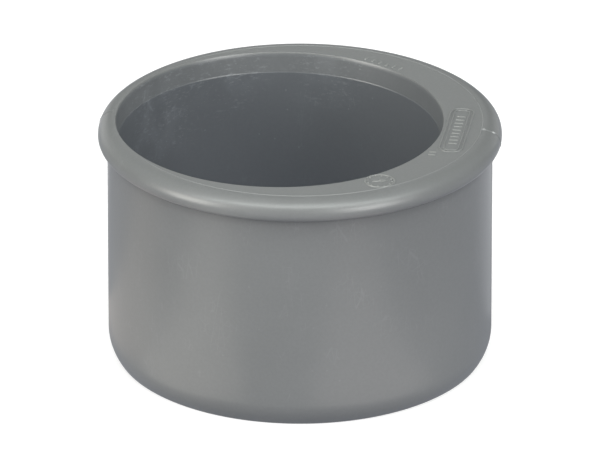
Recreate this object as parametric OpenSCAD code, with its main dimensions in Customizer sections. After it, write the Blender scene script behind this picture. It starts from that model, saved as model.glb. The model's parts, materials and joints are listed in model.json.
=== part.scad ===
// Eccentric reducing bush for solvent-welded waste pipe: a plain spigot outside, a plain socket
// inside, and a beaded collar with a flat face on top. The body is one moulding, open right through.
//
// Frame: the origin is the bottom centre of the spigot, +Z runs up the spigot's axis, and the socket
// is set off from that axis towards -X, so the face is widest on the +X side. Millimetres.

/* [Spigot] */
// Outside diameter of the spigot
spigot_d = 90; // [89:0.1:92]
// Height from the end of the spigot to the face
height = 58; // [54:0.5:70]
// Wall thickness of the spigot
skirt_wall = 2.8; // [2:0.1:3]
// Length of the rounded lead-in at the end of the spigot
lead_in_l = 5.7; // [3:0.1:6]
// Radius of the lead-in's rounding
lead_in_r = 9.6; // [9:0.1:20]

/* [Collar] */
// Height of the beaded collar
collar_h = 5.2; // [5:0.1:7]
// Outside diameter of the collar, at its widest line
collar_d = 94.4; // [94.2:0.1:97]
// Diameter of the flat face, where the bead's rounding starts
face_d = 85.6; // [85:0.2:86]
// Drop from the face to the bead's widest line
bead_drop = 3.4; // [3:0.1:4]
// Thickness of the plate that carries the face
plate_t = 3.2; // [2:0.1:5]

/* [Socket] */
// Bore of the socket
socket_d = 75.2; // [70:0.1:76]
// Depth from the face to the stop in the socket
socket_depth = 44; // [30:0.5:48]
// How far the socket's axis is set off from the spigot's, towards -X
socket_offset = 4.8; // [4.6:0.1:5]
// Diameter of the wider band at the socket's mouth
mouth_d = 76.24; // [76.2:0.02:76.6]
// Depth of the mouth band
mouth_depth = 4.8; // [2:0.1:8]
// Height of the sloping ledge between the mouth band and the bore
ledge_h = 0.3; // [0.1:0.1:1]
// Radius of the rounded edge round the mouth
mouth_edge_r = 0.3; // [0.1:0.1:0.5]
// Hole through the stop ring
stop_d = 69; // [60:0.5:70]
// Thickness of the stop ring
stop_t = 3; // [2:0.1:5]
// Wall thickness of the socket sleeve
sleeve_wall = 2.8; // [2:0.1:3]

/* [Pocket behind the sleeve] */
// How far the pocket runs back past the spigot's axis, towards -X
pocket_back = 3.7; // [0:0.1:6]
// Number of ribs across the pocket
rib_count = 5; // [3:2:5]
// Angle between neighbouring ribs
rib_step = 32; // [20:1:40]
// Thickness of a rib
rib_t = 1.8; // [1:0.1:2.5]
// How far the ribs stop short of the sleeve's lower end
rib_setback = 5; // [2:0.5:10]

/* [Raised marks on the face] */
// Height of the marks above the face
mark_h = 0.2; // [0.1:0.05:0.5]
// Width of a raised line
mark_line = 0.4; // [0.3:0.05:0.6]
// Length of the label frame, along Y
label_l = 25; // [22.5:0.5:26]
// Width of the label frame, along X
label_w = 5.8; // [5.4:0.1:6]
// Number of bars in the label frame
label_bar_count = 9; // [3:1:11]
// Radius of the dial's ring
dial_r = 3.6; // [3:0.1:3.6]
// Number of ticks round the dial
dial_tick_count = 12; // [4:1:16]
// Number of bars in the row behind the socket
row_bar_count = 6; // [3:1:8]

/* [Hidden] */
$fn = 180;

eps = 0.01;
grey = [0.44, 0.45, 0.44];
mark_grey = [0.47, 0.48, 0.47];

spigot_r = spigot_d / 2;
skirt_inner_r = spigot_r - skirt_wall;
collar_r = collar_d / 2;
face_r = face_d / 2;
widest_z = height - bead_drop;

socket_r = socket_d / 2;
mouth_r = mouth_d / 2;
stop_r = stop_d / 2;
sleeve_r = socket_r + sleeve_wall;
stop_z = height - socket_depth;
sleeve_end_z = stop_z - stop_t;
ledge_z = height - mouth_depth;
plate_z = height - plate_t;

// Places of the marks on the face
label_at = [37, -0.6];
label_corner_r = 2.6;
label_gap = 0.55;
label_bar_l = 2.1;
label_bar_pitch = 1.9;
pair_at = [33.1, -14.4];
pair_bar_l = 1.7;
pair_pitch = 1.5;
dial_at = [23.2, -31.4];
dial_tick_l = 0.6;
dial_pointer_l = 3.6;
dial_pointer_turn = 20;
dial_arrow_w = 1.7;
row_at = [14.9, 34.6];
row_turn = -28.5;
row_bar_l = 1.6;
row_bar_w = 0.5;
row_pitch = 2;

// A quarter of an oval, a wide and b high, made of two arcs that meet where their common normal has
// the slope of a 3-4-5 triangle. It has a flat tangent at [0, b] and an upright one at [a, 0].
module quarter_oval(a, b) {
    normal = [0.6, 0.8];
    flat_r = 2 * a - b;
    tip_r = (3 * b - a) / 2;
    translate([0, b - flat_r]) intersection() {
        circle(flat_r);
        polygon([[0, 0], 2 * flat_r * normal, [0, 2 * flat_r]]);
    }
    translate([a - tip_r, 0]) intersection() {
        circle(tip_r);
        polygon([[0, 0], [2 * tip_r, 0], 2 * tip_r * normal]);
    }
}

// Half section of the moulding's outside, filled in to the axis
module outside_profile() {
    translate([0, lead_in_l]) square([spigot_r, widest_z - lead_in_l]);
    translate([0, widest_z - eps]) square([face_r, bead_drop + eps]);
    square([spigot_r - lead_in_r, lead_in_l + eps]);
    intersection() {
        translate([spigot_r - lead_in_r, lead_in_l]) circle(lead_in_r);
        translate([spigot_r - lead_in_r - eps, 0]) square([lead_in_r + eps, lead_in_l]);
    }
    translate([face_r, widest_z]) quarter_oval(collar_r - face_r, bead_drop);
    translate([spigot_r, widest_z]) mirror([0, 1]) quarter_oval(collar_r - spigot_r, collar_h - bead_drop);
}

// Half section of the socket's hollow, about the socket's own axis
module socket_profile() {
    translate([0, sleeve_end_z - eps]) square([stop_r, socket_depth + stop_t]);
    translate([0, stop_z]) square([socket_r, socket_depth]);
    polygon([[0, ledge_z - ledge_h], [socket_r, ledge_z - ledge_h], [mouth_r, ledge_z], [0, ledge_z]]);
    translate([0, ledge_z]) square([mouth_r, mouth_depth + eps]);
    difference() {
        translate([mouth_r - eps, height - mouth_edge_r]) square([mouth_edge_r + eps, mouth_edge_r + eps]);
        translate([mouth_r + mouth_edge_r, height - mouth_edge_r]) circle(mouth_edge_r);
    }
}

// The hollow inside the skirt, with the sleeve, the solid back and the ribs left standing in it
module skirt_hollow() {
    difference() {
        translate([0, 0, -eps]) cylinder(r = skirt_inner_r, h = plate_z + eps);
        translate([-socket_offset, 0, sleeve_end_z]) cylinder(r = sleeve_r, h = height);
        translate([-spigot_d - pocket_back, -spigot_r, sleeve_end_z]) cube([spigot_d, spigot_d, height]);
        for (i = [0 : rib_count - 1])
            rotate((i - (rib_count - 1) / 2) * rib_step)
                translate([0, -rib_t / 2, sleeve_end_z + rib_setback]) cube([spigot_r, rib_t, height]);
    }
}

module reducer_body() {
    color(grey) difference() {
        rotate_extrude() outside_profile();
        skirt_hollow();
        translate([-socket_offset, 0, 0]) rotate_extrude() socket_profile();
    }
}

// A rectangle with round corners, centred
module rounded_rectangle(w, l, r) {
    square([w - 2 * r, l], center = true);
    square([w, l - 2 * r], center = true);
    for (x = [-1, 1], y = [-1, 1])
        translate([x * (w / 2 - r), y * (l / 2 - r)]) circle(r);
}

// One raised line that follows a rounded rectangle
module outline(w, l, r) {
    difference() {
        rounded_rectangle(w, l, r);
        rounded_rectangle(w - 2 * mark_line, l - 2 * mark_line, r - mark_line);
    }
}

// Stands a flat drawing up as a raised mark at a place on the face
module raised(at, turn = 0) {
    color(mark_grey) translate([at.x, at.y, height]) rotate(turn) linear_extrude(mark_h) children();
}

module label_frame() {
    inset = mark_line + label_gap;
    raised(label_at) {
        outline(label_w, label_l, label_corner_r);
        outline(label_w - 2 * inset, label_l - 2 * inset, label_corner_r - inset);
    }
}

module label_bars() {
    raised(label_at)
        for (i = [0 : label_bar_count - 1])
            translate([0, (i - (label_bar_count - 1) / 2) * label_bar_pitch])
                square([label_bar_l, mark_line], center = true);
}

module pair_marks() {
    raised(pair_at)
        for (side = [-1, 1])
            translate([0, side * pair_pitch / 2]) square([pair_bar_l, mark_line], center = true);
}

module dial_ring() {
    ring_inner_r = dial_r - mark_line;
    raised(dial_at) {
        difference() {
            circle(dial_r);
            circle(ring_inner_r);
        }
        for (i = [0 : dial_tick_count - 1])
            rotate(i * 360 / dial_tick_count)
                translate([ring_inner_r - dial_tick_l, -mark_line / 2]) square([dial_tick_l + eps, mark_line]);
    }
}

module dial_pointer() {
    half_l = dial_pointer_l / 2;
    raised(dial_at, dial_pointer_turn) {
        translate([-half_l, -mark_line / 2]) square([dial_pointer_l - dial_arrow_w + eps, mark_line]);
        polygon([[half_l, 0], [half_l - dial_arrow_w, dial_arrow_w / 2], [half_l - dial_arrow_w, -dial_arrow_w / 2]]);
    }
}

module row_marks() {
    raised(row_at, row_turn)
        for (i = [0 : row_bar_count - 1])
            translate([(i - (row_bar_count - 1) / 2) * row_pitch, 0])
                square([row_bar_w, row_bar_l], center = true);
}

reducer_body();
label_frame();
label_bars();
pair_marks();
dial_ring();
dial_pointer();
row_marks();
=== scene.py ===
import json
import math

import bmesh
import bpy
from mathutils import Matrix, Vector


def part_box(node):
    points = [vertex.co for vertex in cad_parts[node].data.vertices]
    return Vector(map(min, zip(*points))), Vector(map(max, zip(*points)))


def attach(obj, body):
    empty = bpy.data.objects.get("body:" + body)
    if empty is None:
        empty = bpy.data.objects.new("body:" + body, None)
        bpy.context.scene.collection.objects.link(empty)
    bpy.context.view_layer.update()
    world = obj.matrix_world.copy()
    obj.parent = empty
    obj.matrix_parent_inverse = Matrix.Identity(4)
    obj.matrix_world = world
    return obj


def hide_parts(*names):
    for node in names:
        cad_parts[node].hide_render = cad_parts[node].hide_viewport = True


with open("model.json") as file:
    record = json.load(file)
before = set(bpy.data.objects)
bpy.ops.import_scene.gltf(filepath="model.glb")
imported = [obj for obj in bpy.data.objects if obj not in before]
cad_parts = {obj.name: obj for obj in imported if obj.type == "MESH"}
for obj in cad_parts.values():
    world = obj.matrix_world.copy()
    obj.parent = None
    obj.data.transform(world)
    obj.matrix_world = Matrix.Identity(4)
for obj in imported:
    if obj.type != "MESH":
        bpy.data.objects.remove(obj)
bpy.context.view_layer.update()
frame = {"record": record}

# An eccentric reducing bush in grey uPVC. The moulding is lofted round the spigot's axis from two half
# sections in millimetres, of the outside and of the socket, and stands for the CAD node. The raised
# marks on its face are thin ridges. Everything rides on the part's only body.

MM = 0.001


# ---------------------------------------------------------------- sizes from the frame, in mm

def mount(name):
    return next(m for m in frame["record"]["mounts"] if m["name"] == name)


def in_mm(metres):
    return metres / MM


def mount_height(name):
    return in_mm(mount(name)["pos_m"][2])


body_low, body_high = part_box("reducer_body")
top_z = in_mm(body_high.z)
collar_r = in_mm(body_high.x - body_low.x) / 2
spigot_r = mount("spigot")["dims"]["r_mm"]
socket_r = mount("socket")["dims"]["r_mm"]
socket_x = in_mm(mount("socket")["pos_m"][0])
stop_z = mount_height("socket_stop")
ledge_low_z = mount_height("socket") + mount("socket")["dims"]["length_mm"] / 2
lead_in_z = mount_height("spigot") - mount("spigot")["dims"]["length_mm"] / 2

# Sizes that the frame doesn't name, as part.scad has them
face_r = 42.8
bead_drop = 3.4
under_drop = 5.2
mouth_r = 38.12
ledge_high_z = top_z - 4.8
skirt_inner_r = 42.2
lead_in_r = 9.6
sleeve_r = 40.4
stop_r = 34.5
sleeve_end_z = stop_z - 3
plate_z = top_z - 3.2
rib_z = sleeve_end_z + 5
rib_degs = (-64, -32, 0, 32, 64)

# The pocket's end walls and the ribs' sides as angles. part.scad has them as flat walls, in nearly
# the same places.
pocket_end_deg = 95.1
rib_half_deg = 1.32

# The softened ledge in the socket, and the flare and rounding at its mouth, which stand in for the
# CAD's ledge and mouth
step_w = 0.1
step_over = 0.1
mouth_edge_w = 0.37
mouth_round_r = 0.2
flare_r = 3
flare_deg = 24

# Rounding of the other edges that are sharp in the CAD
foot_round_r = 0.22
stop_round_r = 0.4
pocket_bevel = 0.25

# Witness lines that the mould leaves: a hairline ring near the face's rim with one nick in it, and a
# split line over the bead and down the spigot at both ends of X, with two pips at the +X end
ring_r = 42.7
ring_high = 0.11
ring_half_w = 0.2
nick_deg = 22
nick_half_deg = 1.1
nick_depth = 1.9
split_degs = (1.0, -179.0)
split_half_deg = 0.24
split_high_bead = 0.10
split_high_wall = 0.05
pip_rs = (43.1, 45.5)
pip_half_w = 0.5
pip_high = 0.22


# ---------------------------------------------------------------- half sections

def bump(x):
    """A smooth hump, 1 at 0 and gone beyond 1 on either side."""
    return math.cos(x * math.pi / 2) ** 2 if abs(x) < 1 else 0.0


def smooth(x):
    x = min(1.0, max(0.0, x))
    return x * x * (3 - 2 * x)


def arc(centre, radius, start, end, steps):
    """Points along an arc in the half section, from one angle to another, in degrees."""
    angles = [math.radians(start + (end - start) * i / steps) for i in range(steps + 1)]
    return [(centre[0] + radius * math.cos(a), centre[1] + radius * math.sin(a)) for a in angles]


def stations(low, high, steps):
    return [low + (high - low) * i / steps for i in range(steps + 1)]


# The bead is a quarter oval of two arcs above its widest line and another below it. Where the two
# arcs of a quarter meet, their common normal has the slope of a 3-4-5 triangle.
MEET_DEG = math.degrees(math.asin(0.8))
widest_z = top_z - bead_drop
over_w = collar_r - face_r
over_flat_r = 2 * over_w - bead_drop
over_tip_r = (3 * bead_drop - over_w) / 2
under_w = collar_r - spigot_r
under_h = under_drop - bead_drop
collar_low_z = top_z - under_drop
under_flat_r = 2 * under_w - under_h
under_tip_r = (3 * under_h - under_w) / 2

# How finely the mesh is divided, and the small gaps that keep its points apart
OVER_STEPS = 14
EVEN_STEP_DEG = 1.25
SPECIAL_CLEAR_DEG = 0.3
POINT_GAP = 0.05
HAIR = 0.02
RING_SUPPORT = 0.12


def bead_height(r):
    """Height of the collar's top at a radius from the spigot's axis, out to where its arcs meet."""
    if r <= face_r:
        return top_z
    return top_z - over_flat_r + math.sqrt(over_flat_r ** 2 - (r - face_r) ** 2)


def bead_section():
    """The bead's four arcs, from the face down to just short of the spigot's wall."""
    last_deg = -88
    over = arc((face_r, top_z - over_flat_r), over_flat_r, 90, MEET_DEG, OVER_STEPS)
    tip = arc((collar_r - over_tip_r, widest_z), over_tip_r, MEET_DEG, 0, 14)
    under_tip = arc((collar_r - under_tip_r, widest_z), under_tip_r, 0, -MEET_DEG, 8)
    under = arc((spigot_r, widest_z - under_h + under_flat_r), under_flat_r, -MEET_DEG, last_deg, 6)
    return over + tip[1:] + under_tip[1:] + under[1:]


def skirt_section():
    """The spigot's wall, its lead-in and end, and up inside the skirt."""
    foot_r = spigot_r - lead_in_r + math.sqrt(lead_in_r ** 2 - lead_in_z ** 2)
    foot_deg = math.degrees(math.asin(lead_in_z / lead_in_r))
    lip = foot_round_r
    lip_deg = 1.6
    lip_support = 0.1
    wall_drops = (HAIR, 0.4)
    wall_start = 2
    corner = [(spigot_r + HAIR, collar_low_z)] + [(spigot_r, collar_low_z - drop) for drop in wall_drops]
    wall = [(spigot_r, z) for z in stations(collar_low_z - wall_start, lead_in_z, 12)]
    lead_in = arc((spigot_r - lead_in_r, lead_in_z), lead_in_r, 0, -foot_deg + lip_deg, 12)[1:]
    outer_lip = arc((foot_r - lip, lip), lip, -foot_deg, -90, 4)
    inner_lip = arc((skirt_inner_r + lip, lip), lip, -90, -180, 4)
    inside = [(skirt_inner_r, z) for z in stations(lip + lip_support, sleeve_end_z, 3)]
    return corner + wall + lead_in + outer_lip + inner_lip + inside


def socket_section():
    """From the stop ring's hole up the socket to the rounded edge of its mouth, about the socket's axis."""
    edge = stop_round_r
    near = 0.3
    bore_start = 2
    flare_start_deg = 174
    band_shares = (0.07, 0.3, 0.6, 0.93)
    hole_low = arc((stop_r + edge, sleeve_end_z + edge), edge, -90, -180, 4)
    hole_high = arc((stop_r + edge, stop_z - edge), edge, 180, 90, 4)
    corner = [(socket_r - near, stop_z), (socket_r, stop_z), (socket_r, stop_z + near)]
    bore = [(socket_r, z) for z in stations(stop_z + bore_start, ledge_low_z - near, 10)]
    step_high = ledge_high_z + step_over - ledge_low_z
    ledge = [(socket_r + step_w * smooth(t), ledge_low_z + step_high * t) for t in stations(0, 1, 10)]
    tilt = math.radians(flare_deg)
    apart = flare_r - mouth_round_r
    edge_at = (mouth_r + mouth_edge_w, top_z - mouth_round_r)
    flare_at = (edge_at[0] + apart * math.cos(tilt), edge_at[1] - apart * math.sin(tilt))
    flare = arc(flare_at, flare_r, flare_start_deg, 180 - flare_deg, 6)
    mouth = flare + arc(edge_at, mouth_round_r, 180 - flare_deg, 90, 6)[1:]
    low, high = ledge[-1], flare[0]
    band = [(low[0] + (high[0] - low[0]) * t, low[1] + (high[1] - low[1]) * t) for t in band_shares]
    return hole_low + hole_high + corner + bore + ledge + band + mouth + [(rim_support_r, top_z)]


# ---------------------------------------------------------------- loft round the spigot's axis

def turn_between(a, b):
    return (a - b + 180) % 360 - 180


def along_ray(angle, r):
    """How far from the spigot's axis a ray at this angle meets a circle about the socket's axis."""
    across = socket_x * math.sin(angle)
    return socket_x * math.cos(angle) + math.sqrt(r * r - across * across)


def column_angles():
    """Angles of the loft's columns in degrees, closer together at the split lines, ribs and pocket ends."""
    special = [-pocket_end_deg, pocket_end_deg]
    special += [rib + side * rib_half_deg for rib in rib_degs for side in (-1, 1)]
    for line in split_degs:
        special += [line + split_half_deg * i / 4 for i in range(-4, 5)]
    even = [-180 + EVEN_STEP_DEG * i for i in range(round(360 / EVEN_STEP_DEG))]
    clear = [a for a in even if all(abs(turn_between(a, s)) > SPECIAL_CLEAR_DEG for s in special)]
    return sorted(clear + special)


def ring_strength(deg, rim_r):
    """The witness ring's height as a share. It fades near the socket's mouth, and the nick cuts it."""
    least_gap = 0.3
    fade_w = 0.8
    fade = smooth((ring_r - rim_r - least_gap) / fade_w)
    nick = bump(turn_between(deg, nick_deg) / nick_half_deg)
    return fade * (1 - nick_depth * nick)


def face_points(deg, rim_r):
    """The flat face from the mouth's edge out to the bead, with the raised hairline ring near its rim."""
    strength = ring_strength(deg, rim_r)
    points = []
    inner_r = ring_r - ring_half_w - RING_SUPPORT
    for i, r in enumerate([inner_r] + stations(ring_r - ring_half_w, ring_r + ring_half_w, 6)):
        r = max(r, rim_r + POINT_GAP * (i + 1))
        points.append((r, bead_height(r) + ring_high * strength * bump((r - ring_r) / ring_half_w)))
    return points


def split_height(deg, r, z):
    """How far the split line stands up at a point of the outside, with its pips at the +X end."""
    high = split_high_bead if z > collar_low_z + POINT_GAP else split_high_wall
    if z > widest_z and abs(deg) < 90:
        high += pip_high * max(bump((r - pip) / pip_half_w) for pip in pip_rs)
    return high


def bead_points(deg, last_r):
    """The bead and the skirt at this angle, outside the face's last point, with the split line raised."""
    share = max(bump(turn_between(deg, line) / split_half_deg) for line in split_degs)
    points = []
    for i, (r, z) in enumerate(SECTION_OUT):
        least = last_r + POINT_GAP * (i + 1)
        if i < OVER_STEPS and r < least:
            r, z = least, bead_height(least)
        on_wall = z > lead_in_z and r > spigot_r - HAIR / 2
        if share and (on_wall or z > widest_z):
            high = split_height(deg, r, z)
            upward = max(0.0, min(1.0, (z - widest_z) / bead_drop))
            r, z = r + high * share * (1 - upward), z + high * share * upward
        points.append((r, z))
    return points


def column(deg):
    """One column of the loft: the socket's points up to the mouth, then the face, bead and skirt."""
    angle = math.radians(deg)
    least_pocket_w = 0.5
    rim_r = along_ray(angle, rim_support_r)
    drop = bead_height(rim_r) - top_z
    inner = [(along_ray(angle, r), z + (drop if r > mouth_r else 0)) for r, z in SECTION_IN]
    face = face_points(deg, rim_r)
    outer = face + bead_points(deg, face[-1][0])
    sleeve = min(along_ray(angle, sleeve_r), skirt_inner_r - least_pocket_w)
    return angle, inner + outer, sleeve


rim_support_r = mouth_r + mouth_edge_w + RING_SUPPORT
SECTION_OUT = bead_section() + skirt_section()
SECTION_IN = socket_section()


def place(bm, angle, r, z):
    return bm.verts.new((r * math.cos(angle) * MM, r * math.sin(angle) * MM, z * MM))


def in_pocket(deg):
    return abs(deg) < pocket_end_deg


def in_rib(deg):
    return any(abs(turn_between(deg, rib)) < rib_half_deg for rib in rib_degs)


def same(a, b):
    return abs(a - b) < 1e-6


def skin_pair(bm, one, two):
    """Faces between two neighbouring columns of points."""
    for i in range(len(one) - 1):
        bm.faces.new((one[i], two[i], two[i + 1], one[i + 1]))


def loft():
    """The moulding's mesh, which is closed and nearly all quads."""
    bm = bmesh.new()
    degs = column_angles()
    columns = []
    for deg in degs:
        angle, points, sleeve = column(deg)
        skin = [place(bm, angle, r, z) for r, z in points]
        foot = place(bm, angle, sleeve, sleeve_end_z)
        by_pocket = abs(deg) <= pocket_end_deg
        on_skirt = [place(bm, angle, skirt_inner_r, z) for z in (rib_z, plate_z)] if by_pocket else None
        on_sleeve = [place(bm, angle, sleeve, z) for z in (plate_z, rib_z)] if by_pocket else None
        columns.append({"deg": deg, "skin": skin, "foot": foot, "skirt": on_skirt, "sleeve": on_sleeve})
    bevelled = []
    for one, two in zip(columns, columns[1:] + columns[:1]):
        middle = one["deg"] + turn_between(two["deg"], one["deg"]) / 2
        skin_pair(bm, one["skin"], two["skin"])
        bm.faces.new((one["foot"], two["foot"], two["skin"][0], one["skin"][0]))
        if not in_pocket(middle):
            skin_pair(bm, [one["skin"][-1], one["foot"]], [two["skin"][-1], two["foot"]])
            continue
        skin_pair(bm, *[[c["skin"][-1], c["skirt"][0]] for c in (one, two)])
        skin_pair(bm, *[[c["sleeve"][1], c["foot"]] for c in (one, two)])
        bevelled.append((one["foot"], two["foot"]))
        if in_rib(middle):
            skin_pair(bm, *[[c["skirt"][0], c["sleeve"][1]] for c in (one, two)])
        else:
            skin_pair(bm, *[c["skirt"] + c["sleeve"] for c in (one, two)])
    for c in columns:
        if any(same(abs(turn_between(c["deg"], rib)), rib_half_deg) for rib in rib_degs):
            bm.faces.new((c["skirt"][0], c["skirt"][1], c["sleeve"][0], c["sleeve"][1]))
            bevelled.append((c["skirt"][0], c["sleeve"][1]))
        if same(abs(c["deg"]), pocket_end_deg):
            bm.faces.new((c["skin"][-1], *c["skirt"], *c["sleeve"], c["foot"]))
            bevelled.append((c["skin"][-1], c["foot"]))
    edges = [bm.edges.get(pair) for pair in bevelled]
    bmesh.ops.bevel(bm, geom=edges, offset=pocket_bevel * MM, segments=2, profile=0.5,
                    affect="EDGES", clamp_overlap=True)
    bmesh.ops.recalc_face_normals(bm, faces=bm.faces)
    return bm


def finished(bm, name, crease_deg):
    """Turns a mesh into a piece that rides on the part, smooth except across its sharp edges."""
    mesh = bpy.data.meshes.new(name)
    for f in bm.faces:
        f.smooth = True
    bm.to_mesh(mesh)
    bm.free()
    mesh.set_sharp_from_angle(angle=math.radians(crease_deg))
    piece = bpy.data.objects.new(name, mesh)
    bpy.context.scene.collection.objects.link(piece)
    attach(piece, "root")
    return piece


body = finished(loft(), "moulded_body", crease_deg=40)
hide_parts("reducer_body")


# ---------------------------------------------------------------- raised marks

# Places and sizes on the face, as part.scad has them, and how far the marks sit down into it
line_w = 0.4
label_at = (37, -0.6)
label_corner_r = 2.6
label_gap = 0.55
label_bar_pitch = 1.9
pair_at = (33.1, -14.4)
pair_bar_l = 1.7
pair_pitch = 1.5
dial_at = (23.2, -31.4)
dial_tick_count = 12
dial_tick_l = 0.6
dial_pointer_l = 3.6
dial_pointer_turn = 20
dial_arrow_w = 1.7
row_at = (14.9, 34.6)
row_turn = -28.5
row_bar_count = 6
row_bar_l = 1.6
row_bar_w = 0.5
row_pitch = 2
sink = 0.05


def mark_size(node):
    """The node's size along X, Y and Z, in mm."""
    low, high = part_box(node)
    return [in_mm(c) for c in high - low]


label_w, label_l, mark_high = mark_size("label_frame")
label_bar_l, label_bars_l, _ = mark_size("label_bars")
dial_r = mark_size("dial_ring")[0] / 2


def ridge_section(half_w):
    """Half section of a raised line with a rounded crown: pairs of distance from its middle and height."""
    shares = ((1, -sink / mark_high), (1, 0), (0.9, 0.45), (0.7, 0.8), (0.4, 0.96), (0.15, 1))
    return [(half_w * wide, top_z + mark_high * high) for wide, high in shares]


def ring_of(bm, points, z):
    return [bm.verts.new((x * MM, y * MM, z * MM)) for x, y in points]


def skin_rings(bm, rings, capped):
    """Faces between closed rings of points: a cap at both ends, or else the last ring joins the first."""
    pairs = list(zip(rings, rings[1:])) + ([] if capped else [(rings[-1], rings[0])])
    for one, two in pairs:
        for i, v in enumerate(one):
            j = (i + 1) % len(one)
            bm.faces.new((v, one[j], two[j], two[i]))
    if capped:
        bm.faces.new(rings[0][::-1])
        bm.faces.new(rings[-1])


def spot(centre, turn_deg, distance):
    turn = math.radians(turn_deg)
    return centre[0] + distance * math.cos(turn), centre[1] + distance * math.sin(turn)


def bar(bm, centre, turn_deg, length, width):
    """A short raised line with round ends, turned from +X."""
    step_deg = 30
    ends = [(turn_deg + end, spot(centre, turn_deg + end, (length - width) / 2)) for end in (0, 180)]
    rings = []
    for r, z in ridge_section(width / 2):
        outline = [spot(at, end + step_deg * i, r) for end, at in ends for i in range(-3, 4)]
        rings.append(ring_of(bm, outline, z))
    skin_rings(bm, rings, capped=True)


def closed_line(bm, corners, r, width):
    """A raised line that goes round the corners, each an arc of radius r given by its centre, start,
    end and number of steps. The end itself is left out."""
    section = ridge_section(width / 2)
    sides = section + [(-offset, z) for offset, z in reversed(section)]
    rings = []
    for offset, z in sides:
        points = [spot(at, start + (end - start) * i / steps, r + offset)
                  for at, start, end, steps in corners for i in range(steps)]
        rings.append(ring_of(bm, points, z))
    skin_rings(bm, rings, capped=False)


def rounded_line(bm, w, l, r):
    """A closed raised line on a rectangle with round corners, given over its outer edge. Each corner
    turns by 90 degrees, as the last tenth of its sweep is left out."""
    steps = 10
    sweep = 100
    x, y = w / 2 - r, l / 2 - r
    quarters = ((x, y, 0), (-x, y, 90), (-x, -y, 180), (x, -y, 270))
    corners = []
    for cx, cy, start in quarters:
        corners.append(((label_at[0] + cx, label_at[1] + cy), start, start + sweep, steps))
    closed_line(bm, corners, r - line_w / 2, line_w)


def arrow_head(bm, centre, turn_deg, tip, length, width):
    """A raised triangle whose tip lies that far along the turned direction."""
    back = tip - length
    slant = math.hypot(length, width / 2)
    inner_r = width * length / (width + 2 * slant)
    middle = spot(centre, turn_deg, back + inner_r)
    rings = []
    for half, z in ridge_section(line_w / 2):
        keep = (inner_r - line_w / 2 + half) / inner_r
        corners = [(tip, 0), (back, width / 2), (back, -width / 2)]
        flat = [((along - back - inner_r) * keep, across * keep) for along, across in corners]
        turned = [spot(spot(middle, turn_deg, along), turn_deg + 90, across) for along, across in flat]
        rings.append(ring_of(bm, turned, z))
    skin_rings(bm, rings, capped=True)


def mark(name, node, draw):
    """One raised mark: a new mesh, filled by draw, that stands for its CAD node."""
    bm = bmesh.new()
    draw(bm)
    bmesh.ops.recalc_face_normals(bm, faces=bm.faces)
    piece = finished(bm, name, crease_deg=60)
    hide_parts(node)
    return piece


def draw_label_frame(bm):
    inset = line_w + label_gap
    rounded_line(bm, label_w, label_l, label_corner_r)
    rounded_line(bm, label_w - 2 * inset, label_l - 2 * inset, label_corner_r - inset)


def draw_label_bars(bm):
    count = round((label_bars_l - line_w) / label_bar_pitch) + 1
    for i in range(count):
        y = label_at[1] + (i - (count - 1) / 2) * label_bar_pitch
        bar(bm, (label_at[0], y), 0, label_bar_l, line_w)


def draw_pair(bm):
    for side in (-1, 1):
        bar(bm, (pair_at[0], pair_at[1] + side * pair_pitch / 2), 0, pair_bar_l, line_w)


def draw_dial_ring(bm):
    steps = 72
    tick_w = line_w * 0.8
    closed_line(bm, [(dial_at, 0, 360, steps)], dial_r - line_w / 2, line_w)
    for i in range(dial_tick_count):
        turn = i * 360 / dial_tick_count
        bar(bm, spot(dial_at, turn, dial_r - line_w - dial_tick_l / 2), turn, dial_tick_l, tick_w)


def draw_dial_pointer(bm):
    half_l = dial_pointer_l / 2
    overlap = 0.2
    shaft_l = dial_pointer_l - dial_arrow_w + overlap
    bar(bm, spot(dial_at, dial_pointer_turn, shaft_l / 2 - half_l), dial_pointer_turn, shaft_l, line_w)
    arrow_head(bm, dial_at, dial_pointer_turn, half_l, dial_arrow_w, dial_arrow_w)


def draw_row(bm):
    for i in range(row_bar_count):
        at = spot(row_at, row_turn, (i - (row_bar_count - 1) / 2) * row_pitch)
        bar(bm, at, row_turn + 90, row_bar_l, row_bar_w)


marks = [
    mark("label_outline", "label_frame", draw_label_frame),
    mark("label_bar_row", "label_bars", draw_label_bars),
    mark("pair_of_bars", "pair_marks", draw_pair),
    mark("dial_scale", "dial_ring", draw_dial_ring),
    mark("dial_arrow", "dial_pointer", draw_dial_pointer),
    mark("back_bar_row", "row_marks", draw_row),
]


# ---------------------------------------------------------------- materials

# Base colours. The label's outline is a little paler than the moulding, and the other marks paler still.
BODY_GREY = (0.156, 0.161, 0.163)
OUTLINE_GREY = (0.172, 0.178, 0.179)
MARK_GREY = (0.205, 0.211, 0.209)

# Painted shade: the socket's wall is painted darker and bluer than the outside, standing in for the shade and
# cool light inside it, and its mouth band gets a good half of that
BORE_PAINTED_SHADE = (0.675, 0.705, 0.76)
BAND_SHADE_SHARE = 0.55

# Where pipes have rubbed the bore: angle round its axis, height and radius in mm, and how strongly
RUBBED_PLACES = ((121, 55, 17, 1.0), (150, 47, 20, 1.0), (80, 55, 15, 0.7))

# Painted shadow on the spigot just under the collar: how far down it reaches in mm, and how much darker it is
COLLAR_SHADOW_HIGH = 2.6
COLLAR_SHADOW_DARK = 0.17

# Painted highlights on the raised crowns: how much paler the witness ring's crown is painted, and the radius
# in mm of a pale spot painted on each pip
RING_HIGHLIGHT = 0.4
PIP_HIGHLIGHT_R = 0.75


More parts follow.
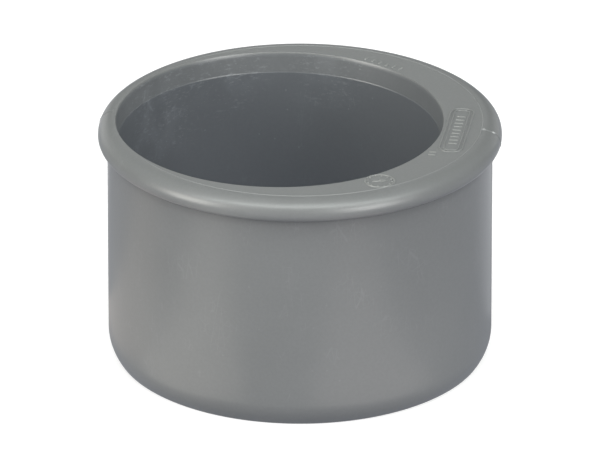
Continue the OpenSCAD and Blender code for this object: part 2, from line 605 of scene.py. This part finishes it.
class Nodes:
    """Short names for the few node kinds that the plastic uses. Places are in metres, in the part's frame."""

    def __init__(self, material):
        material.use_nodes = True
        self.tree = material.node_tree
        self.shader = self.tree.nodes["Principled BSDF"]
        self.place = self.tree.nodes.new("ShaderNodeTexCoord").outputs["Object"]

    def add(self, kind, inputs, **settings):
        node = self.tree.nodes.new(kind)
        for key, value in settings.items():
            setattr(node, key, value)
        for key, value in inputs.items():
            if isinstance(value, bpy.types.NodeSocket):
                self.tree.links.new(value, node.inputs[key])
            else:
                node.inputs[key].default_value = value
        return node

    def maths(self, operation, a, b=0.0):
        return self.add("ShaderNodeMath", {0: a, 1: b}, operation=operation).outputs[0]

    def plus(self, a, b):
        return self.maths("ADD", a, b)

    def times(self, a, b):
        return self.maths("MULTIPLY", a, b)

    def most(self, a, b):
        return self.maths("MAXIMUM", a, b)

    def ramp(self, value, low, high, to_low=0.0, to_high=1.0):
        """The value's way from low to high, eased, as a number from to_low to to_high."""
        inputs = {"Value": value, "From Min": low, "From Max": high, "To Min": to_low, "To Max": to_high}
        return self.add("ShaderNodeMapRange", inputs, interpolation_type="SMOOTHSTEP").outputs["Result"]

    def vector_maths(self, operation, a, b):
        return self.add("ShaderNodeVectorMath", {0: a, 1: b}, operation=operation).outputs

    def stretched(self, turn_deg, scale):
        turn = tuple(math.radians(a) for a in turn_deg)
        inputs = {"Vector": self.place, "Rotation": turn, "Scale": scale}
        return self.add("ShaderNodeMapping", inputs).outputs[0]

    def noise(self, scale, detail=2.0, place=None):
        inputs = {"Vector": place or self.place, "Scale": scale, "Detail": detail}
        return self.add("ShaderNodeTexNoise", inputs).outputs["Fac"]

    def specks(self, scale, radius, share, place=None):
        """Small round specks, one in some of the cells, with soft edges."""
        cells = self.add("ShaderNodeTexVoronoi", {"Vector": place or self.place, "Scale": scale})
        near = self.ramp(cells.outputs["Distance"], radius, radius * 0.4)
        chosen = self.add("ShaderNodeSeparateColor", {0: cells.outputs["Color"]}).outputs[0]
        return self.times(near, self.maths("LESS_THAN", chosen, share))

    def hairlines(self, turn_deg, scale, width, amount):
        """Fine scratches: the edges of long thin cells, kept only where a noise is high."""
        cells = {"Vector": self.stretched(turn_deg, scale), "Scale": 1.0}
        edge = self.add("ShaderNodeTexVoronoi", cells, feature="DISTANCE_TO_EDGE").outputs["Distance"]
        kept = self.ramp(self.noise(scale=110, detail=3), amount, amount + 0.08)
        return self.times(self.ramp(edge, width, width * 0.3), kept)

    def above_foot(self):
        """The height above the spigot's end."""
        return self.add("ShaderNodeSeparateXYZ", {0: self.place}).outputs["Z"]

    def from_axis(self, axis_x):
        """The distance from an upright axis that stands at this X."""
        flat = self.vector_maths("MULTIPLY", self.place, (1, 1, 0))["Vector"]
        return self.vector_maths("DISTANCE", flat, (axis_x, 0, 0))["Value"]

    def around(self, centre, radius):
        """1 at a place in the part's frame, and fading to 0 at the radius. Both are in mm."""
        far = self.vector_maths("DISTANCE", self.place, tuple(c * MM for c in centre))["Value"]
        return self.ramp(far, radius * MM, 0.0)

    def inside_socket(self):
        """1 inside the socket up to its ledge, less on the wider band above that, and 0 outside. It also
        grades how much of the socket's painted shade each place gets.
        """
        slack = 0.1
        within = self.maths("LESS_THAN", self.from_axis(socket_x * MM), (mouth_r + slack) * MM)
        band_low_z = (ledge_high_z + step_over) * MM
        return self.times(within, self.ramp(self.above_foot(), band_low_z, ledge_low_z * MM, BAND_SHADE_SHARE))

    def shadow_under_bead(self):
        """1, but less on the spigot just under the collar, where a shadow of the collar is painted."""
        slack = 0.5
        over = 0.4
        outside = self.maths("GREATER_THAN", self.from_axis(0.0), (spigot_r - slack) * MM)
        below = self.maths("LESS_THAN", self.above_foot(), (collar_low_z + over) * MM)
        near = self.ramp(self.above_foot(), (collar_low_z - COLLAR_SHADOW_HIGH) * MM, collar_low_z * MM)
        collar_shadow = self.times(self.times(near, below), outside)
        return self.maths("SUBTRACT", 1.0, self.times(collar_shadow, COLLAR_SHADOW_DARK))

    def on_ring(self):
        """1 on the crown of the witness ring near the face's rim, where a highlight is painted."""
        crown_half_w = 0.05
        fade_low = 0.01
        fade_high = 0.07
        off = self.maths("ABSOLUTE", self.maths("SUBTRACT", self.from_axis(0.0), ring_r * MM))
        raised = self.ramp(self.above_foot(), (top_z + fade_low) * MM, (top_z + fade_high) * MM)
        return self.times(self.ramp(off, ring_half_w * MM, crown_half_w * MM), raised)

    def rubbed(self, inside):
        """The rubbed places in the bore, each 1 or less at its middle and fading out."""
        strongest = 0.0
        for deg, z, radius, strength in RUBBED_PLACES:
            strongest = self.most(strongest, self.times(self.around(in_bore(deg, z), radius), strength))
        return self.times(strongest, self.ramp(inside, 0.0, 0.5))

    def scratches(self, rubbed):
        """Hairline scratches that lie two ways, faint but where the bore is rubbed."""
        lying = self.hairlines(turn_deg=(0, 0, 20), scale=(420, 420, 60), width=0.03, amount=0.56)
        standing = self.hairlines(turn_deg=(35, 50, 0), scale=(520, 60, 420), width=0.03, amount=0.57)
        return self.times(self.most(lying, standing), self.plus(rubbed, 0.3))

    def dust(self, inside, rubbed):
        """Pale specks, few on the outside, and dense ones and scuffs where the bore is rubbed."""
        flat_dashes = self.stretched((0, 0, 0), (1, 1, 2.4))
        loose = self.specks(scale=330, radius=0.10, share=0.25)
        loose = self.times(loose, self.ramp(inside, 0.0, 0.5, to_low=0.3))
        thick = self.specks(scale=820, radius=0.24, share=0.8, place=flat_dashes)
        thick = self.times(thick, self.ramp(rubbed, 0.0, 0.5, to_high=0.8))
        scuffs = self.ramp(self.noise(scale=760, detail=4, place=flat_dashes), 0.53, 0.68)
        scuffs = self.times(scuffs, self.ramp(self.noise(scale=140, detail=3), 0.42, 0.6))
        scuffs = self.times(scuffs, self.ramp(rubbed, 0.0, 0.4, to_high=0.9))
        return self.plus(self.plus(loose, thick), scuffs)

    def scuffing_and_glints(self, inside):
        """How marked each place is: scratches, dust, patches in the rubbed bore, and painted highlights on
        the witness ring's crown and the pips.
        """
        rubbed = self.rubbed(inside)
        patch = self.times(rubbed, self.ramp(self.noise(scale=150, detail=4), 0.42, 0.68))
        scuffed_and_glinting = self.times(self.scratches(rubbed), 0.45)
        scuffed_and_glinting = self.plus(scuffed_and_glinting, self.times(self.dust(inside, rubbed), 0.55))
        scuffed_and_glinting = self.plus(scuffed_and_glinting, self.times(patch, 0.22))
        # Painted highlights: the ring's crown and a spot on each pip are made paler
        scuffed_and_glinting = self.plus(scuffed_and_glinting, self.times(self.on_ring(), RING_HIGHLIGHT))
        for r in pip_rs:
            scuffed_and_glinting = self.plus(scuffed_and_glinting, self.around(on_bead(split_degs[0], r), PIP_HIGHLIGHT_R))
        return scuffed_and_glinting


def in_bore(deg, z):
    """A place on the socket's wall, at an angle round its axis."""
    turn = math.radians(deg)
    return socket_x + socket_r * math.cos(turn), socket_r * math.sin(turn), z


def on_bead(deg, r):
    """A place on the collar's top, at an angle and a radius from the spigot's axis."""
    turn = math.radians(deg)
    return r * math.cos(turn), r * math.sin(turn), bead_height(r) + split_high_bead


def plastic(name, grey):
    """Semi-gloss moulded uPVC: faintly clouded, with a fine skin and light scratches, dust and scuffs,
    painted shade in the socket and under the collar, and painted highlights on the witness ring and pips.
    """
    material = bpy.data.materials.new(name)
    n = Nodes(material)
    n.shader.inputs["IOR"].default_value = 1.54
    cloud = n.noise(scale=34, detail=3)
    grain = n.noise(scale=1400, detail=1)
    inside = n.inside_socket()
    scuffed_and_glinting = n.scuffing_and_glints(inside)
    light = n.plus(n.ramp(cloud, 0.3, 0.7, 0.965, 1.035), n.ramp(grain, 0.3, 0.7, -0.02, 0.02))
    # Scratches, dust, rubbed patches and the painted highlights on ring and pips make it paler
    light = n.plus(light, n.times(scuffed_and_glinting, 0.75))
    # Painted shadow: the spigot is darkened just under the collar
    light = n.times(light, n.shadow_under_bead())
    # Painted shade: the socket's inside is darkened and blued, and its mouth band by a good half as much
    bore_shaded_grey = tuple(c * shade for c, shade in zip(grey, BORE_PAINTED_SHADE))
    greys = {"Factor": inside, "A": grey, "B": bore_shaded_grey}
    grey_with_socket_shade = n.add("ShaderNodeMix", greys, data_type="VECTOR").outputs["Result"]
    tone = n.add("ShaderNodeVectorMath", {0: grey_with_socket_shade, "Scale": light}, operation="SCALE").outputs[0]
    n.tree.links.new(tone, n.shader.inputs["Base Color"])
    rough = n.plus(n.ramp(cloud, 0.3, 0.7, 0.325, 0.36), n.times(scuffed_and_glinting, 0.2))
    n.tree.links.new(rough, n.shader.inputs["Roughness"])
    skin = n.plus(n.times(n.noise(scale=620, detail=2), 0.6), n.times(scuffed_and_glinting, 0.4))
    bumpy = n.add("ShaderNodeBump", {"Height": skin, "Strength": 0.25, "Distance": 0.00002}).outputs["Normal"]
    n.tree.links.new(bumpy, n.shader.inputs["Normal"])
    return material


body.data.materials.append(plastic("upvc", BODY_GREY))
outline_plastic = plastic("upvc_pale_outline", OUTLINE_GREY)
mark_plastic = plastic("upvc_pale_marks", MARK_GREY)
for piece in marks:
    piece.data.materials.append(outline_plastic if piece.name == "label_outline" else mark_plastic)


# ---------------------------------------------------------------- floor, light and camera

# Angles in degrees and distances in metres. A card runs from near to far, and spreads to either side.
CAMERA_AZIMUTH = 8.3
CAMERA_ELEVATION = 24.78
CAMERA_DISTANCE = 2.7998
CAMERA_LOWER = 0.02454
LIGHT_DISTANCE = 1.3
CARD_NEAR = 0.05
CARD_FAR = 0.26
CARD_HIGH = 0.0005
CARD_SPREAD_DEG = 9
UP = Vector((0, 0, 1))
WHITE = (1, 1, 1)

# Azimuth and elevation of the middle, width and height as seen from the part, all in degrees, then
# power in watts and colour
SOFTBOXES = {
    "overhead": (0, 74, 80, 27, 22.8, (0.96, 1, 0.97)),
    "left": (-63, 19, 27, 33, 13.2, (1, 0.98, 0.92)),
    "right": (40, 22, 27, 34, 12.1, (1, 1, 0.98)),
    "back": (180, 20, 24, 26, 0.5, WHITE),
    "back_left": (-148, 8, 26, 22, 1.1, WHITE),
    "back_right": (148, 8, 26, 22, 0.7, WHITE),
}

# Azimuth in degrees, power in watts and colour
REFLECTORS = {
    "card_left": (-45, 0.026, (1, 0.94, 0.84)),
    "card_right": (28, 0.021, (1, 0.92, 0.87)),
    "card_side": (-90, 0.012, (1, 0.83, 0.65)),
    "card_back_left": (-155, 0.04, WHITE),
    "card_back_right": (148, 0.02, WHITE),
    "card_far_right": (127, 0.01, WHITE),
}


def towards(azimuth, elevation):
    """The direction from the part at an azimuth round from the camera's own, positive to its right."""
    a = math.radians(azimuth + CAMERA_AZIMUTH)
    e = math.radians(elevation)
    return Vector((math.sin(a) * math.cos(e), -math.cos(a) * math.cos(e), math.sin(e)))


def make_floor():
    """A pale glowing table. The camera also sees soft shadows on it. The part gets only its even glow."""
    bpy.ops.mesh.primitive_plane_add(size=12)
    floor = bpy.context.object
    floor.name = "floor"
    material = bpy.data.materials.new("floor")
    material.use_nodes = True
    tree = material.node_tree
    shader = tree.nodes["Principled BSDF"]
    shader.inputs["Base Color"].default_value = (0.42, 0.42, 0.42, 1)
    shader.inputs["Roughness"].default_value = 0.9
    shader.inputs["Specular IOR Level"].default_value = 0
    shader.inputs["Emission Color"].default_value = (1, 1, 1, 1)
    shader.inputs["Emission Strength"].default_value = 0.68
    glow = tree.nodes.new("ShaderNodeEmission")
    glow.inputs["Color"].default_value = (0.85, 0.89, 1, 1)
    glow.inputs["Strength"].default_value = 0.52
    seen = tree.nodes.new("ShaderNodeMixShader")
    rays = tree.nodes.new("ShaderNodeLightPath")
    tree.links.new(rays.outputs["Is Camera Ray"], seen.inputs["Fac"])
    tree.links.new(glow.outputs["Emission"], seen.inputs[1])
    tree.links.new(shader.outputs["BSDF"], seen.inputs[2])
    tree.links.new(seen.outputs["Shader"], tree.nodes["Material Output"].inputs["Surface"])
    floor.data.materials.append(material)


def area_light(name, place, facing, up, width, height, power, colour):
    """A rectangle of light that the camera doesn't see, with its height along up."""
    light = bpy.data.lights.new(name, "AREA")
    light.shape = "RECTANGLE"
    light.size = width
    light.size_y = height
    light.energy = power
    light.color = colour
    lamp = bpy.data.objects.new(name, light)
    bpy.context.scene.collection.objects.link(lamp)
    lamp.location = place
    back = -facing
    side = up.cross(back).normalized()
    lamp.rotation_mode = "QUATERNION"
    lamp.rotation_quaternion = Matrix((side, back.cross(side), back)).transposed().to_quaternion()
    lamp.visible_camera = False


def softbox(name, azimuth, elevation, wide, high, power, colour):
    """A light that faces the part, and is so wide and so high as seen from it, in degrees."""
    away = towards(azimuth, elevation)
    width, height = (2 * LIGHT_DISTANCE * math.tan(math.radians(angle / 2)) for angle in (wide, high))
    place = Vector((0, 0, top_z * MM / 2)) + away * LIGHT_DISTANCE
    area_light(name, place, -away, UP, width, height, power, colour)


def reflector(name, azimuth, power, colour):
    """A glowing card that lies on the floor close to the part, runs away from it and faces up."""
    out = towards(azimuth, 0)
    middle = (CARD_NEAR + CARD_FAR) / 2
    width = 2 * middle * math.tan(math.radians(CARD_SPREAD_DEG))
    place = out * middle + UP * CARD_HIGH
    area_light(name, place, UP, out, width, CARD_FAR - CARD_NEAR, power, colour)


def make_camera():
    """A very long lens, 24.8 degrees up and 8.3 round from -Y, set a little below the face's centre."""
    e = math.radians(CAMERA_ELEVATION)
    back = towards(0, CAMERA_ELEVATION)
    up = towards(180, 0) * math.sin(e) + Vector((0, 0, math.cos(e)))
    data = bpy.data.cameras.new("camera")
    data.lens = 720
    data.sensor_width = 36
    data.clip_end = 50
    camera = bpy.data.objects.new("camera", data)
    bpy.context.scene.collection.objects.link(camera)
    camera.location = Vector((0, 0, top_z * MM)) + back * CAMERA_DISTANCE - up * CAMERA_LOWER
    camera.rotation_mode = "QUATERNION"
    camera.rotation_quaternion = back.to_track_quat("Z", "Y")
    bpy.context.scene.camera = camera


make_floor()
make_camera()
for name, settings in SOFTBOXES.items():
    softbox(name, *settings)
for name, settings in REFLECTORS.items():
    reflector(name, *settings)
world = bpy.data.worlds.new("world")
world.use_nodes = True
world.node_tree.nodes["Background"].inputs["Color"].default_value = (1, 1, 1, 1)
world.node_tree.nodes["Background"].inputs["Strength"].default_value = 0.04
bpy.context.scene.world = world
bpy.context.scene.view_settings.view_transform = "Standard"
